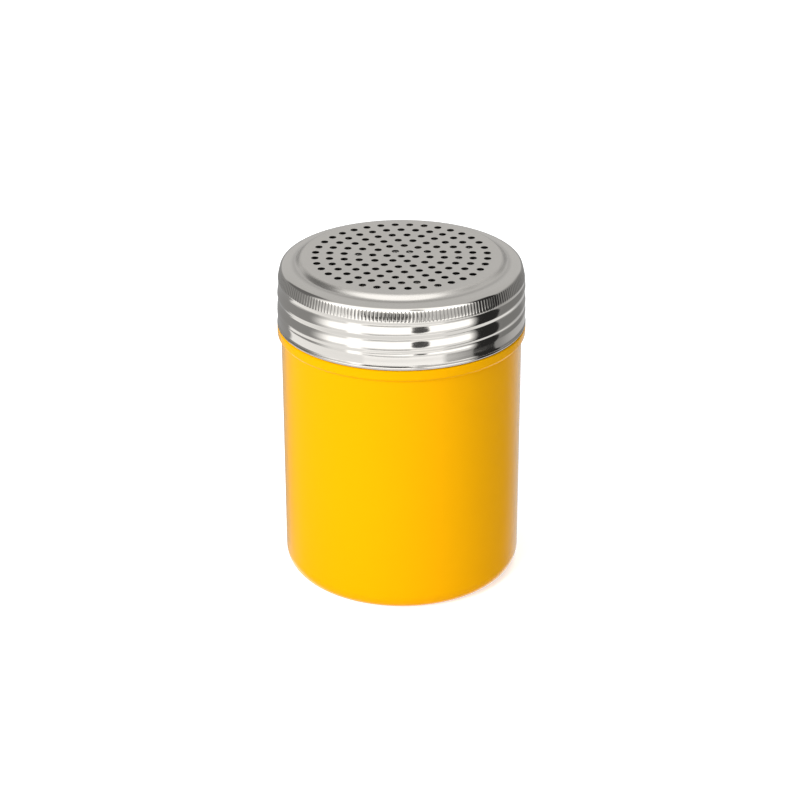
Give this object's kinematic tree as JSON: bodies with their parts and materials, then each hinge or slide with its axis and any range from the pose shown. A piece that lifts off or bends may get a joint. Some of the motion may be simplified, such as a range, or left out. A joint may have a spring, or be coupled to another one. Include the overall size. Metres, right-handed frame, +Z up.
{
  "type": "spice shaker",
  "caption": "Straight-sided metal spice shaker: a coated steel can with a threaded neck, and a knurled stainless screw lid with a raised perforated top.",
  "frame": {"origin": "middle of the can's foot, on the surface it stands on", "axes": "+Z up along the can's and the lid's common axis; +X to the right as pictured, -Y towards the viewer"},
  "size_m": [0.0698, 0.0698, 0.0945],
  "materials": {
    "yellow_coat": "semi-gloss baked powder coat",
    "stainless": "bright stamped stainless sheet, brushed on the flat top"
  },
  "bodies": {
    "can": {"can": "yellow_coat"},
    "hem": {"lid_hem": "stainless"},
    "lid": {"lid": "stainless"}
  },
  "joints": [
    {"name": "lid_climb", "type": "slide", "parent": "can", "child": "hem", "axis": [0, 0, 1], "range_m": [0, 0.0084]},
    {"name": "lid_turn", "type": "hinge", "parent": "hem", "child": "lid", "pos_m": [0, 0, 0.0751], "axis": [0, 0, 1], "range_deg": [0, 720]}
  ],
  "couplings": [
    {"joint": "lid_climb", "follows": "lid_turn", "m_per_rad": 0.00066845}
  ]
}
